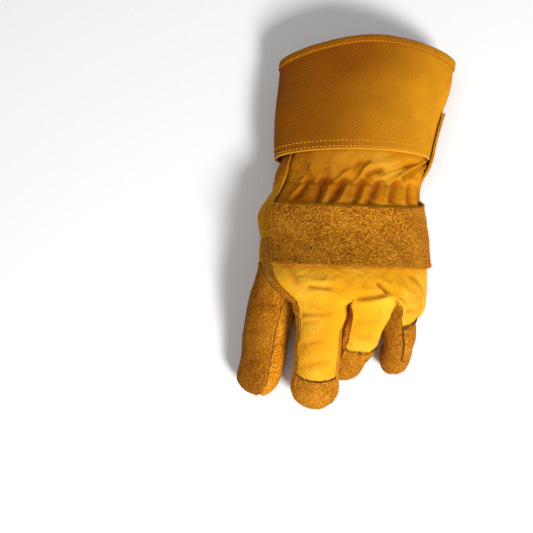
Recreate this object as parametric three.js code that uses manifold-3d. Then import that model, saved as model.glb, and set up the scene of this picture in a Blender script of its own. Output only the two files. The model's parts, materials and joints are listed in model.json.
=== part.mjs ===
// Left-hand leather work glove with a flared cotton cuff, lying palm down with its fingers curled.
// Millimetres, +Z up, fingers towards -Y, thumb towards -X, origin under the middle of the glove.
import * as THREE from 'three';
import { mergeVertices } from 'three/addons/utils/BufferGeometryUtils.js';
import Module from 'manifold-3d';

const wasm = await Module();
wasm.setup();

// Walls: padded cotton back, split leather, stiff pasted cuff, folded binding tape
const cottonWall = 2.2;
const leatherWall = 2.0;
const cuffWall = 1.8;
const tapeWall = 1.0;
const patchWall = 1.6;
const seamGap = 0.2;      // each panel stops this far short of its seam line
const layerGap = 0.3;     // between a panel and one that lies over it
const looseGap = 0.8;     // where the upper one lies loosely
const patchLevel = patchWall + looseGap;
const shortestEdge = 0.05;    // shorter ones are closed up where a wall is cut

// Lengths along the glove, measured from the crotch line of the fingers
const crotchLine = -3;
const hemLine = 109;
const mouthLine = 186;
const mouthBow = 11;          // the mouth stands out further at the back
const cottonTop = 117;        // the back panel ends inside the cuff
const elasticLine = 85;
const gussetEnd = 46;
const tabTop = 146;           // palm leather runs up over the cuff to here
const bindingDepth = 5.5;
const patchTopThumb = 33;     // the patch's slanting upper edge, at the thumb side
const patchTopLittle = 59;    // and at the little-finger side
const patchBottom = 9;
const strapTopThumb = 71;
const strapTopLittle = 83;
const strapBottomThumb = 23;
const strapBottomLittle = 38;
const strapBow = 9;           // the strap's middle lies this much nearer the fingers
const strapThumbEnd = 148;    // its two ends, as angles round the hand
const strapLittleEnd = -4;
const strapColumns = 20;

// Cross sections of the hand: extent across, lowest point, thickness, and how the section
// leans at the thumb edge and at the little-finger edge, in degrees; round is 1 for an ellipse
const handShape = shapeOf([
  { y: 117, left: -46, right: 56, low: 7, thick: 40, leanThumb: 2, leanLittle: -10, round: 1.04 },
  { y: 106, left: -50, right: 57.5, low: 5, thick: 43, leanThumb: 2, leanLittle: -13, round: 1 },
  { y: 96, left: -54.5, right: 57.5, low: 2, thick: 45, leanThumb: 2, leanLittle: -16, round: 0.95 },
  { y: 85, left: -56, right: 56, low: -1, thick: 44, leanThumb: 3, leanLittle: -20, round: 0.9 },
  { y: 74, left: -62, right: 57, low: -3, thick: 46, leanThumb: 4, leanLittle: -24, round: 0.9 },
  { y: 62, left: -63.5, right: 58.5, low: -3, thick: 47, leanThumb: 5, leanLittle: -28, round: 0.9 },
  { y: 46, left: -63, right: 59.5, low: -1, thick: 46, leanThumb: 6, leanLittle: -34, round: 0.9 },
  { y: 30, left: -63, right: 59.5, low: 4, thick: 44, leanThumb: 8, leanLittle: -42, round: 0.9 },
  { y: 16, left: -61.5, right: 58, low: 9, thick: 40, leanThumb: 11, leanLittle: -54, round: 0.9 },
  { y: 6, left: -54.5, right: 56.5, low: 12, thick: 37, leanThumb: 13, leanLittle: -62, round: 0.9 },
  { y: -3, left: -43, right: 55, low: 15, thick: 34, leanThumb: 14, leanLittle: -68, round: 0.9 },
]);

// Cross sections of the cuff, from below the hem to the mouth
const cuffShape = shapeOf([
  { y: 96, left: -53, right: 62, low: 0, thick: 52, leanThumb: 0, leanLittle: -8, round: 1 },
  { y: 109, left: -54, right: 63, low: 0, thick: 53, leanThumb: 0, leanLittle: -7, round: 1.02 },
  { y: 126, left: -54.5, right: 67, low: 0, thick: 53, leanThumb: 0, leanLittle: -5, round: 1.06 },
  { y: 150, left: -53, right: 74.5, low: 0, thick: 52, leanThumb: 0, leanLittle: -3, round: 1.1 },
  { y: 172, left: -50.5, right: 81, low: 0, thick: 51, leanThumb: 0, leanLittle: -2, round: 1.14 },
  { y: 195, left: -48.5, right: 87, low: 0, thick: 50, leanThumb: 0, leanLittle: -2, round: 1.18 },
]);

// Angles round a section, in degrees: the back lies between the two back seams, the palm
// between the two palm edges, and each is divided into lanes, one to a finger
const thumbSeam = 150;
const littleSeam = 12;
const littlePalmEdge = -30;
const thumbPalmEdge = -150;
const backLanes = [thumbSeam, 107, 84, 58, littleSeam];
const palmLanes = [littlePalmEdge, -58, -84, -107, thumbPalmEdge];
const fineSteps = 10;
const backSteps = 5;
const palmSteps = 3;
const sideSteps = 3;

// Fingers: reach from the crotch line to the centre of the tip, width, depth, where the cap
// starts, downward pitch at the root and at the tip, turn about the root, roll of the plane that
// the finger curls in, and twist of its own section
const fingers = [
  {
    name: 'index', reach: 72, width: 34, depth: 28, cap: 50,
    pitch: 11, curl: 58, yaw: -4, roll: 2, twist: 0,
  },
  {
    name: 'middle', reach: 58, width: 31, depth: 27, cap: 28,
    pitch: 12, curl: 82, yaw: 2, roll: -18, twist: -6,
  },
  {
    name: 'ring', reach: 47, width: 29, depth: 25, cap: 12,
    pitch: 8, curl: 62, yaw: 27, roll: -24, twist: -34,
  },
  {
    name: 'little', reach: 41, width: 23, depth: 21, cap: 24,
    pitch: 44, curl: 136, yaw: 6, roll: -64, twist: 0,
  },
];
const fingerRows = 8;
const tipRows = [0, 34, 64];
const rootBlend = 19;
// Width and depth along a finger, as shares of the table's: waist, swell of the cap
const fingerSwell = curveOf([
  { at: 0, size: 0.92 }, { at: 0.2, size: 0.94 }, { at: 0.45, size: 0.98 },
  { at: 0.72, size: 0.95 }, { at: 0.88, size: 1.05 }, { at: 1, size: 1.02 },
], 'at', 'size');

// Thumb: centre line from inside the palm to the centre of the tip, width and depth
const thumbShape = [
  { x: -33, y: 42, z: 36, width: 34, depth: 28 },
  { x: -45, y: 22, z: 38, width: 37, depth: 31 },
  { x: -53.5, y: 4, z: 35, width: 37, depth: 32 },
  { x: -58.5, y: -14, z: 30, width: 35, depth: 31 },
  { x: -61.5, y: -32, z: 23, width: 33, depth: 29 },
  { x: -64.5, y: -51, z: 14, width: 31, depth: 27 },
];
const thumbRows = 9;
const thumbColumns = 14;
const thumbBackColumns = 7;
const thumbWelt = 248;        // angle of the seam along its inner side

const colours = {
  cotton: 0xeaa51f,
  cuff: 0xd08a1c,
  leather: 0xb87412,
  patch: 0xc98518,
  tape: 0xcf8c1e,
};

function radians(degrees) {
  return degrees * Math.PI / 180;
}

function smooth(from, to, at) {
  const t = Math.min(Math.max((at - from) / (to - from), 0), 1);
  return t * t * (3 - 2 * t);
}

function mix(a, b, t) {
  return a + (b - a) * t;
}

// A smooth curve through one column of a table, against another
function curveOf(table, along, column) {
  const rows = [...table].sort((a, b) => a[along] - b[along]);
  const at = rows.map((row) => row[along]);
  const value = rows.map((row) => row[column]);
  const last = rows.length - 1;
  const slope = value.map((v, i) => {
    const before = Math.max(i - 1, 0);
    const after = Math.min(i + 1, last);
    return (value[after] - value[before]) / (at[after] - at[before]);
  });
  return (where) => {
    const x = Math.min(Math.max(where, at[0]), at[last]);
    let i = 0;
    while (i < last - 1 && x > at[i + 1]) i += 1;
    const span = at[i + 1] - at[i];
    const t = (x - at[i]) / span;
    const rise = (1 + 2 * t) * (1 - t) ** 2 * value[i] + t * t * (3 - 2 * t) * value[i + 1];
    return rise + span * (t * (1 - t) ** 2 * slope[i] + t * t * (t - 1) * slope[i + 1]);
  };
}

function shapeOf(table) {
  const shape = { fitted: new Map() };
  for (const column of Object.keys(table[0]).filter((key) => key !== 'y')) {
    shape[column] = curveOf(table, 'y', column);
  }
  return shape;
}

// A rounded section bent along an arc, before it is fitted to its extents
function bentPoint(shape, angle, y) {
  const turn = radians(angle);
  const roundness = shape.round(y);
  const across = Math.sign(Math.cos(turn)) * Math.abs(Math.cos(turn)) ** roundness;
  const up = Math.sign(Math.sin(turn)) * Math.abs(Math.sin(turn)) ** roundness;
  const lean0 = radians(shape.leanThumb(y));
  const bend = radians(shape.leanLittle(y)) - lean0;
  const width = shape.right(y) - shape.left(y);
  const lean = lean0 + bend * (across + 1) / 2;
  const lift = up * shape.thick(y) / 2;
  const x = width * (Math.sin(lean) - Math.sin(lean0)) / bend - Math.sin(lean) * lift;
  const z = width * (Math.cos(lean0) - Math.cos(lean)) / bend + Math.cos(lean) * lift;
  return { x, z };
}

function sectionFit(shape, y) {
  if (!shape.fitted.has(y)) {
    const ring = Array.from({ length: 120 }, (_, i) => bentPoint(shape, i * 3, y));
    const xs = ring.map((p) => p.x);
    const zs = ring.map((p) => p.z);
    const left = Math.min(...xs);
    const stretch = (shape.right(y) - shape.left(y)) / (Math.max(...xs) - left);
    shape.fitted.set(y, { left, stretch, low: Math.min(...zs) });
  }
  return shape.fitted.get(y);
}

// A point of a section: angle 180 is the thumb edge, 90 the back, 0 the little-finger edge
function sectionPoint(shape, angle, y) {
  const fit = sectionFit(shape, y);
  const p = bentPoint(shape, angle, y);
  const x = shape.left(y) + (p.x - fit.left) * fit.stretch;
  return new THREE.Vector3(x, y, shape.low(y) + p.z - fit.low);
}

// The surface moved outwards by a distance, and pressed flat where it would go below a level
function offsetPoint(shape, angle, y, out, level) {
  const p = sectionPoint(shape, angle, y);
  const round = sectionPoint(shape, angle - 1, y).sub(sectionPoint(shape, angle + 1, y));
  const along = sectionPoint(shape, angle, y - 1).sub(sectionPoint(shape, angle, y + 1));
  p.addScaledVector(along.cross(round).normalize(), out);
  p.z = Math.max(p.z, level);
  return p;
}

function keyOf(point) {
  return point.toArray().map((v) => v.toFixed(3)).join();
}

// An open panel: rows of points, seen from outside with the rows running towards the fingers
class Panel {
  constructor() {
    this.points = [];
    this.faces = [];
    this.known = new Map();
  }

  point(p) {
    const key = keyOf(p);
    if (!this.known.has(key)) {
      this.known.set(key, this.points.length);
      this.points.push(p.clone());
    }
    return this.known.get(key);
  }

  face(a, b, c) {
    const corners = [a, b, c].map((p) => this.point(p));
    if (new Set(corners).size === 3) this.faces.push(corners);
  }

  grid(rows) {
    for (let i = 0; i < rows.length - 1; i += 1) {
      const [upper, lower] = [rows[i], rows[i + 1]];
      for (let j = 0; j < upper.length - 1; j += 1) {
        this.face(upper[j], lower[j], lower[j + 1]);
        this.face(upper[j], lower[j + 1], upper[j + 1]);
      }
    }
  }

  // Joins a row to one with half as many steps
  halve(fine, coarse) {
    for (let k = 0; k < coarse.length - 1; k += 1) {
      this.face(fine[2 * k], coarse[k], fine[2 * k + 1]);
      this.face(fine[2 * k + 1], coarse[k], coarse[k + 1]);
      this.face(fine[2 * k + 1], coarse[k + 1], fine[2 * k + 2]);
    }
  }

  fan(row, tip) {
    for (let j = 0; j < row.length - 1; j += 1) this.face(row[j], tip, row[j + 1]);
  }

  normals() {
    const sums = this.points.map(() => new THREE.Vector3());
    for (const [a, b, c] of this.faces) {
      const ab = this.points[b].clone().sub(this.points[a]);
      const ac = this.points[c].clone().sub(this.points[a]);
      const normal = ab.cross(ac);
      [a, b, c].forEach((i) => sums[i].add(normal));
    }
    return sums.map((n) => n.normalize());
  }

  rim() {
    const edges = new Map();
    for (const face of this.faces) {
      face.forEach((a, i) => edges.set(`${a},${face[(i + 1) % 3]}`, [a, face[(i + 1) % 3]]));
    }
    return [...edges.values()].filter(([a, b]) => !edges.has(`${b},${a}`));
  }

  // The points, with those of the rim drawn in from the seam line
  drawnIn(distance) {
    const rim = this.rim();
    const inward = new Map();
    for (const [a, b] of rim) {
      const edge = this.points[b].clone().sub(this.points[a]).normalize();
      const face = this.faces.find((f) => f.includes(a) && f.includes(b));
      const third = this.points[face.find((i) => i !== a && i !== b)];
      const towards = third.clone().sub(this.points[a]);
      towards.addScaledVector(edge, -towards.dot(edge)).normalize();
      for (const i of [a, b]) {
        if (!inward.has(i)) inward.set(i, new THREE.Vector3());
        inward.get(i).add(towards);
      }
    }
    return this.points.map((p, i) => {
      const moved = p.clone();
      return inward.has(i) ? moved.addScaledVector(inward.get(i).normalize(), distance) : moved;
    });
  }

  // A closed wall inside the panel, whose rim follows the skin that it is a part of, so that
  // the rims of two panels at a seam lie face to face
  wall(thickness, { skin = this, gap = 0, inset = 0 } = {}) {
    const shared = new Map();
    skin.normals().forEach((normal, i) => shared.set(keyOf(skin.points[i]), normal));
    const own = this.normals();
    const normals = this.points.map((p, i) => shared.get(keyOf(p)) ?? own[i]);
    const drawn = this.drawnIn(gap);
    const count = drawn.length;
    const outer = drawn.map((p, i) => p.clone().addScaledVector(normals[i], -inset));
    const inner = drawn.map((p, i) => p.clone().addScaledVector(normals[i], -inset - thickness));
    const triangles = [...this.faces];
    for (const [a, b, c] of this.faces) triangles.push([c + count, b + count, a + count]);
    for (const [a, b] of this.rim()) {
      triangles.push([b, a, a + count], [b, a + count, b + count]);
    }
    return geometryOf([...outer, ...inner], triangles);
  }
}

function joined(panels) {
  const whole = new Panel();
  for (const panel of panels) {
    for (const face of panel.faces) whole.face(...face.map((i) => panel.points[i]));
  }
  return whole;
}

function geometryOf(points, triangles) {
  const geometry = new THREE.BufferGeometry();
  const positions = points.flatMap((p) => p.toArray());
  geometry.setAttribute('position', new THREE.Float32BufferAttribute(positions, 3));
  geometry.setIndex(triangles.flat());
  return geometry;
}

function solidOf(geometry, weld = 1e-4) {
  const merged = mergeVertices(geometry, weld);
  const corners = merged.index.array;
  const kept = [];
  for (let i = 0; i < corners.length; i += 3) {
    const face = corners.slice(i, i + 3);
    if (new Set(face).size === 3) kept.push(...face);
  }
  return new wasm.Manifold(new wasm.Mesh({
    numProp: 3,
    vertProperties: new Float32Array(merged.attributes.position.array),
    triVerts: new Uint32Array(kept),
  }));
}

function geometryFrom(solid) {
  const mesh = solid.getMesh();
  const geometry = new THREE.BufferGeometry();
  geometry.setAttribute('position', new THREE.BufferAttribute(mesh.vertProperties, 3));
  geometry.setIndex(new THREE.BufferAttribute(mesh.triVerts, 1));
  return geometry;
}

function centreOf(points) {
  return points.reduce((sum, p) => sum.add(p), new THREE.Vector3()).divideScalar(points.length);
}

// A closed solid through rings of points, with flat ends
function loftSolid(rings) {
  const panel = new Panel();
  const closed = rings.map((ring) => [...ring, ring[0]]);
  panel.grid(closed);
  panel.fan([...closed[0]].reverse(), centreOf(rings[0]));
  panel.fan(closed[closed.length - 1], centreOf(rings[rings.length - 1]));
  return solidOf(geometryOf(panel.points, panel.faces));
}

function anglesThrough(lanes, steps) {
  const angles = [lanes[0]];
  for (let lane = 1; lane < lanes.length; lane += 1) {
    for (let k = 1; k <= steps; k += 1) angles.push(mix(lanes[lane - 1], lanes[lane], k / steps));
  }
  return angles;
}

const fineBackAngles = anglesThrough(backLanes, fineSteps);
const backAngles = anglesThrough(backLanes, backSteps);
const littleSideAngles = anglesThrough([littleSeam, littlePalmEdge], sideSteps);
const palmAngles = anglesThrough(palmLanes, palmSteps);
const thumbSideAngles = anglesThrough([thumbPalmEdge, thumbSeam - 360], sideSteps);
const gatherRows = [cottonTop, hemLine, 101, 95, 90, elasticLine, 81, 76, 70, 61];
const handRows = [54, gussetEnd, 37, 28, 19, 11, 4, crotchLine];
const palmLevel = (y) => patchLevel * (1 - smooth(patchTopLittle + 3, patchTopLittle + 9, y));

// Gathers of the back: creases at the elastic, which fan towards the cuff and fade at the strap
const creases = [
  { column: 2, deep: 1.9, fan: 0.5 }, { column: 6, deep: 2.2, fan: 0.7 },
  { column: 10, deep: 1.8, fan: 0.9 }, { column: 14, deep: 2.3, fan: 1 },
  { column: 18, deep: 2, fan: 1.1 }, { column: 22, deep: 2.3, fan: 1.3 },
  { column: 26, deep: 2.2, fan: 1.4 }, { column: 30, deep: 2.4, fan: 1.5 },
  { column: 34, deep: 2.2, fan: 1.6 }, { column: 37, deep: 1.8, fan: 1.6 },
];
const creaseWidth = 1.15;     // in columns
const puffHeight = 2.4;

function gatherDepth(column, y) {
  const above = Math.max(y - elasticLine, 0) / (cottonTop - elasticLine);
  const below = Math.max(elasticLine - y, 0) / (elasticLine - strapTopThumb);
  const fade = y > elasticLine ? 1 - smooth(0.35, 1, above) : 1 - smooth(0.5, 2.2, below);
  let depth = 0;
  for (const crease of creases) {
    const distance = (column - crease.column - crease.fan * 3 * above) / creaseWidth;
    depth += crease.deep * Math.exp(-distance * distance);
  }
  const puffAbove = smooth(0, 0.4, above) * (1 - smooth(0.4, 0.65, above));
  const puffBelow = 0.6 * smooth(0, 0.8, below) * (1 - smooth(1, 2.4, below));
  return puffHeight * (puffAbove + puffBelow) - depth * fade;
}

// The strap's edges: share runs from its thumb end, 0, to its little-finger end, 1
function strapEdge(share, thumbEnd, littleEnd) {
  return mix(thumbEnd, littleEnd, share) - strapBow * 4 * share * (1 - share);
}

function backRow(angles, y) {
  const perColumn = (fineBackAngles.length - 1) / (angles.length - 1);
  return angles.map((angle, j) => {
    const edge = Math.min(j, angles.length - 1 - j) * perColumn;
    const depth = y > 58 ? gatherDepth(j * perColumn, y) * smooth(0, 2, edge) : 0;
    const strap = strapEdge(j / (angles.length - 1), strapTopThumb, strapTopLittle);
    const out = depth > 0 ? depth * smooth(strap, strap + 7, y) : depth;
    return offsetPoint(handShape, angle, y, out, palmLevel(y));
  });
}

function handRow(angles, y) {
  return angles.map((angle) => offsetPoint(handShape, angle, y, 0, palmLevel(y)));
}

// The crotch between two fingers runs straight from the back to the palm
function web(from, to) {
  return Array.from({ length: sideSteps + 1 }, (_, k) => from.clone().lerp(to, k / sideSteps));
}

// The ring of points that a finger grows from: back, little side, palm, thumb side
function fingerRoot(index) {
  const back = backRow(backAngles, crotchLine).slice(index * backSteps, (index + 1) * backSteps + 1);
  const palmRow = handRow(palmAngles, crotchLine);
  const lane = 3 - index;
  const palm = palmRow.slice(lane * palmSteps, (lane + 1) * palmSteps + 1);
  const littleSide = index === 3 ? handRow(littleSideAngles, crotchLine) : web(back[backSteps], palm[0]);
  const thumbSide = index === 0 ? handRow(thumbSideAngles, crotchLine) : web(palm[palmSteps], back[0]);
  return [...back, ...littleSide.slice(1), ...palm.slice(1), ...thumbSide.slice(1)];
}

const sideSpan = 32;          // a finger's side panels reach this many degrees from level
const ringAngles = [
  ...anglesThrough([180 - sideSpan, sideSpan], backSteps),
  ...anglesThrough([sideSpan, -sideSpan], sideSteps).slice(1),
  ...anglesThrough([-sideSpan, sideSpan - 180], palmSteps).slice(1),
  ...anglesThrough([sideSpan - 180, -sideSpan - 180], sideSteps).slice(1),
];
const backCount = backSteps + 1;

// All rings of a finger, from its root to its tip, and the last point of the tip
function fingerRings(finger, index) {
  const root = fingerRoot(index);
  const start = centreOf(root.slice(0, -1));
  const roll = radians(finger.roll);
  const yaw = radians(finger.yaw);
  const twist = radians(finger.twist);
  const sideways = new THREE.Vector3(Math.cos(roll), 0, Math.sin(roll));
  const backwards = new THREE.Vector3(-Math.sin(roll), 0, Math.cos(roll));
  const ahead = new THREE.Vector3(0, -1, 0);
  const forward = ahead.clone().multiplyScalar(Math.cos(yaw)).addScaledVector(sideways, Math.sin(yaw));
  const across = sideways.clone().multiplyScalar(Math.cos(yaw)).addScaledVector(ahead, -Math.sin(yaw));
  const pitchAt = (s) => radians(mix(finger.pitch, finger.curl, Math.min(s / finger.reach, 1)));
  const axesAt = (s) => {
    const pitch = pitchAt(s);
    const [cos, sin] = [Math.cos(pitch), Math.sin(pitch)];
    const along = forward.clone().multiplyScalar(cos).addScaledVector(backwards, -sin);
    const up = backwards.clone().multiplyScalar(cos).addScaledVector(forward, sin);
    return { along, up };
  };
  const centreAt = (s) => {
    const centre = start.clone();
    const steps = 40;
    const step = s / steps;
    for (let k = 0; k < steps; k += 1) centre.addScaledVector(axesAt((k + 0.5) * step).along, step);
    return centre;
  };
  const first = axesAt(0);
  const local = root.map((p) => {
    const q = p.clone().sub(start);
    return { u: q.dot(across), v: q.dot(first.up), w: q.dot(first.along) };
  });
  const ringAt = (s, size) => {
    const { along, up } = axesAt(s);
    const centre = centreAt(s);
    const blend = smooth(0, rootBlend, s);
    return ringAngles.map((angle, j) => {
      const turn = radians(angle);
      const flat = {
        u: finger.width / 2 * size * Math.cos(turn),
        v: finger.depth / 2 * size * Math.sin(turn),
      };
      const ring = {
        u: flat.u * Math.cos(twist) - flat.v * Math.sin(twist),
        v: flat.u * Math.sin(twist) + flat.v * Math.cos(twist),
      };
      const p = centre.clone().addScaledVector(across, mix(local[j].u, ring.u, blend));
      p.addScaledVector(up, mix(local[j].v, ring.v, blend));
      p.addScaledVector(along, mix(local[j].w, 0, blend));
      p.z = Math.max(p.z, 0);
      return p;
    });
  };
  const capRow = Math.round(fingerRows * finger.cap / finger.reach);
  const rows = Array.from({ length: fingerRows }, (_, k) => {
    const beyond = (k - capRow) / (fingerRows - capRow);
    const s = beyond < 0 ? k / capRow * finger.cap : mix(finger.cap, finger.reach, beyond);
    return ringAt(s, fingerSwell(s / finger.reach));
  });
  const tipRadius = finger.depth / 2;
  for (const angle of tipRows) {
    const turn = radians(angle);
    rows.push(ringAt(finger.reach + tipRadius * Math.sin(turn), fingerSwell(1) * Math.cos(turn)));
  }
  rows[0] = root;
  const tip = centreAt(finger.reach + tipRadius);
  tip.z = Math.max(tip.z, 0);
  return { rows, capRow, tip };
}

const fingerParts = fingers.map((finger, index) => ({ ...finger, ...fingerRings(finger, index) }));

const group = new THREE.Group();

function addMesh(name, geometry, color) {
  geometry.computeVertexNormals();
  const material = new THREE.MeshStandardMaterial({ color, roughness: 0.9, metalness: 0 });
  const mesh = new THREE.Mesh(geometry, material);
  mesh.name = name;
  group.add(mesh);
}

// Cotton back with the backs of the fingers
function backPanel() {
  const panel = new Panel();
  const fine = gatherRows.map((y) => backRow(fineBackAngles, y));
  const coarse = handRows.map((y) => backRow(backAngles, y));
  panel.grid(fine);
  panel.halve(fine[fine.length - 1], coarse[0]);
  panel.grid(coarse);
  for (const finger of fingerParts) {
    panel.grid(finger.rows.slice(0, finger.capRow + 1).map((row) => row.slice(0, backCount)));
  }
  return panel;
}

function fingerCap(finger) {
  const panel = new Panel();
  const rows = finger.rows.slice(finger.capRow).map((row) => row.slice(0, backCount));
  panel.grid(rows);
  panel.fan(rows[rows.length - 1], finger.tip);
  return panel;
}

function fingerFront(finger) {
  const panel = new Panel();
  const rows = finger.rows.map((row) => row.slice(backSteps));
  panel.grid(rows);
  panel.fan(rows[rows.length - 1], finger.tip);
  return panel;
}

// Cotton gusset at the thumb side of the wrist
function sideGusset() {
  const panel = new Panel();
  const rows = [...gatherRows, ...handRows.filter((y) => y >= gussetEnd)];
  panel.grid(rows.map((y) => handRow(thumbSideAngles, y)));
  return panel;
}

// Palm leather: the hand's own skin, then out over the cuff as a tab with a rounded corner
const tabRows = [tabTop, tabTop - 3, tabTop - 9, 126, cottonTop, hemLine];
const tabFrom = 93;           // here the palm leaves the hand's skin
const tabOnCuff = 106;        // and here it lies on the cuff
const tabNarrow = 26;         // degrees that the tab is narrower than the palm
const tabCorner = { reach: 14, degrees: 16 };

function palmPoint(angle, y) {
  const onHand = offsetPoint(handShape, angle, y, 0, palmLevel(y));
  const onCuff = offsetPoint(cuffShape, angle, y, leatherWall + looseGap, 0);
  return onHand.lerp(onCuff, smooth(tabFrom, tabOnCuff, y));
}

function palmLeather() {
  const panel = new Panel();
  const angles = [...littleSideAngles, ...palmAngles.slice(1)];
  const tabAngles = (y) => {
    const rounding = Math.max(y - (tabTop - tabCorner.reach), 0) / tabCorner.reach;
    const cut = tabNarrow + tabCorner.degrees * (1 - Math.sqrt(Math.max(1 - rounding * rounding, 0)));
    const end = thumbPalmEdge + cut * smooth(tabOnCuff - 2, cottonTop, y);
    return angles.map((angle) => mix(littleSeam, end, (littleSeam - angle) / (littleSeam - thumbPalmEdge)));
  };
  const rows = [...tabRows, ...gatherRows.filter((y) => y < hemLine), ...handRows];
  panel.grid(rows.map((y) => tabAngles(y).map((angle) => palmPoint(angle, y))));
  const sideRows = [gussetEnd, ...handRows.filter((y) => y < gussetEnd)];
  panel.grid(sideRows.map((y) => thumbSideAngles.map((angle) => palmPoint(angle, y))));
  return panel;
}

function palmPatch() {
  const panel = new Panel();
  const steps = 7;
  const rows = [];
  for (let k = 0; k <= steps; k += 1) {
    rows.push(palmAngles.map((angle, j) => {
      const top = mix(patchTopLittle, patchTopThumb, j / (palmAngles.length - 1));
      const y = mix(top, patchBottom, k / steps);
      return offsetPoint(handShape, angle, y, patchWall + looseGap, 0);
    }));
  }
  panel.grid(rows);
  return panel.wall(patchWall);
}

function knuckleStrap() {
  const panel = new Panel();
  const angles = anglesThrough([strapThumbEnd, strapLittleEnd], strapColumns);
  const steps = 5;
  const rows = [];
  for (let k = 0; k <= steps; k += 1) {
    rows.push(angles.map((angle, j) => {
      const share = j / (angles.length - 1);
      const top = strapEdge(share, strapTopThumb, strapTopLittle);
      const bottom = strapEdge(share, strapBottomThumb, strapBottomLittle);
      return offsetPoint(handShape, angle, mix(top, bottom, k / steps), leatherWall + looseGap, 0);
    }));
  }
  panel.grid(rows);
  return panel.wall(leatherWall);
}

// Cuff: a flared ring, whose mouth bows out at the back
const cuffColumns = 32;
const cuffAngles = Array.from({ length: cuffColumns + 1 }, (_, i) => 180 - i * 360 / cuffColumns);
const cuffLevel = (y) => mix(leatherWall + looseGap, tapeWall + layerGap, smooth(tabTop, mouthLine, y));

function mouthShift(angle) {
  return mouthBow * Math.max(Math.sin(radians(angle)), 0) ** 2;
}

function cuffPoint(angle, share, out, beyond = 0) {
  const y = mix(hemLine, mouthLine + mouthShift(angle), share) + beyond;
  return offsetPoint(cuffShape, angle, y, out, Math.max(cuffLevel(y) - out, 0));
}

function cuff() {
  const panel = new Panel();
  const steps = 5;
  const rows = Array.from({ length: steps + 1 }, (_, k) => (
    cuffAngles.map((angle) => cuffPoint(angle, 1 - k / steps, 0))
  ));
  panel.grid(rows);
  return panel;
}

// Binding tape folded over the mouth: distances from the edge of the cuff and from its outside
function cuffBinding() {
  const panel = new Panel();
  const inside = -cuffWall - layerGap - tapeWall;
  const outside = layerGap + tapeWall;
  const fold = tapeWall + layerGap;
  const section = [
    { from: -bindingDepth, out: inside },
    { from: 0.4, out: inside },
    { from: fold, out: inside + tapeWall },
    { from: fold, out: outside - tapeWall },
    { from: 0.4, out: outside },
    { from: -bindingDepth, out: outside },
  ];
  panel.grid(section.map(({ from, out }) => cuffAngles.map((angle) => cuffPoint(angle, 1, out, from))));
  return panel.wall(tapeWall);
}

// Thumb: rings square to its centre line
function thumbRings(inset) {
  const line = new THREE.CatmullRomCurve3(thumbShape.map((row) => new THREE.Vector3(row.x, row.y, row.z)));
  const rows = thumbShape.map((row, i) => ({ ...row, at: i / (thumbShape.length - 1) }));
  const widthAt = curveOf(rows, 'at', 'width');
  const depthAt = curveOf(rows, 'at', 'depth');
  const ringAt = (at, beyond, size) => {
    const along = line.getTangent(at);
    const side = new THREE.Vector3(0, 0, 1).cross(along).normalize().negate();
    const up = side.clone().cross(along).negate();
    const centre = line.getPoint(at).addScaledVector(along, beyond);
    return Array.from({ length: thumbColumns + 1 }, (_, j) => {
      const turn = radians(thumbWelt - j * 360 / thumbColumns);
      const p = centre.clone();
      p.addScaledVector(side, (widthAt(at) / 2 - inset) * size * Math.cos(turn));
      p.addScaledVector(up, (depthAt(at) / 2 - inset) * size * Math.sin(turn));
      p.z = Math.max(p.z, inset);
      return p;
    });
  };
  const rings = Array.from({ length: thumbRows }, (_, k) => ringAt(k / thumbRows, 0, 1));
  const tipRadius = depthAt(1) / 2 - inset;
  for (const angle of tipRows) {
    rings.push(ringAt(1, tipRadius * Math.sin(radians(angle)), Math.cos(radians(angle))));
  }
  const tip = line.getPoint(1).addScaledVector(line.getTangent(1), tipRadius);
  tip.z = Math.max(tip.z, inset);
  return { rings, tip };
}

function thumbPanel({ rings, tip }, from, to) {
  const panel = new Panel();
  const rows = rings.map((ring) => ring.slice(from, to + 1));
  panel.grid(rows);
  panel.fan(rows[rows.length - 1], tip);
  return panel;
}

// The hand's outside as one solid, a little swollen, which the thumb stops against
function handSolid() {
  const palmSide = [...littleSideAngles.slice(1), ...palmAngles.slice(1)];
  const angles = [...backAngles, ...palmSide, ...thumbSideAngles.slice(1, -1)];
  return loftSolid([...gatherRows, ...handRows].map((y) => (
    angles.map((angle) => offsetPoint(handShape, angle, y, layerGap, palmLevel(y) - layerGap))
  )));
}

// Panels that meet at seams, with their walls
const backSheet = backPanel();
const gussetSheet = sideGusset();
const palmSheet = palmLeather();
const fingerSheets = fingerParts.map((finger) => ({
  name: finger.name,
  front: fingerFront(finger),
  cap: fingerCap(finger),
}));
const handSheets = [backSheet, gussetSheet, palmSheet];
const fullSkin = joined([...handSheets, ...fingerSheets.flatMap(({ front, cap }) => [front, cap])]);

// The room that a sheet's wall takes up, with clearance on both faces
function roomOf(sheet, thickness, skin) {
  return solidOf(sheet.wall(thickness + 2 * layerGap, { skin, inset: -layerGap }));
}

function largest(solid) {
  return solid.decompose().sort((a, b) => b.volume() - a.volume())[0];
}

// The largest body that is left of a wall once the room of its neighbours is cut away
function cleared(solid, rooms) {
  const rest = rooms.reduce((left, room) => left.subtract(room), solid);
  return largest(solidOf(geometryFrom(largest(rest)), shortestEdge));
}

const thumb = thumbRings(0);
const thumbOutside = loftSolid(thumbRings(-layerGap).rings.map((ring) => ring.slice(0, -1)));
const thumbHollow = loftSolid(thumbRings(leatherWall).rings.map((ring) => ring.slice(0, -1)));

addMesh('back_panel', backSheet.wall(cottonWall, { skin: fullSkin, gap: seamGap }), colours.cotton);
addMesh('side_gusset', gussetSheet.wall(cottonWall, { skin: fullSkin, gap: seamGap }), colours.cotton);
addMesh('cuff', cuff().wall(cuffWall), colours.cuff);
addMesh('cuff_binding', cuffBinding(), colours.tape);
addMesh('knuckle_strap', knuckleStrap(), colours.leather);

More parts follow.
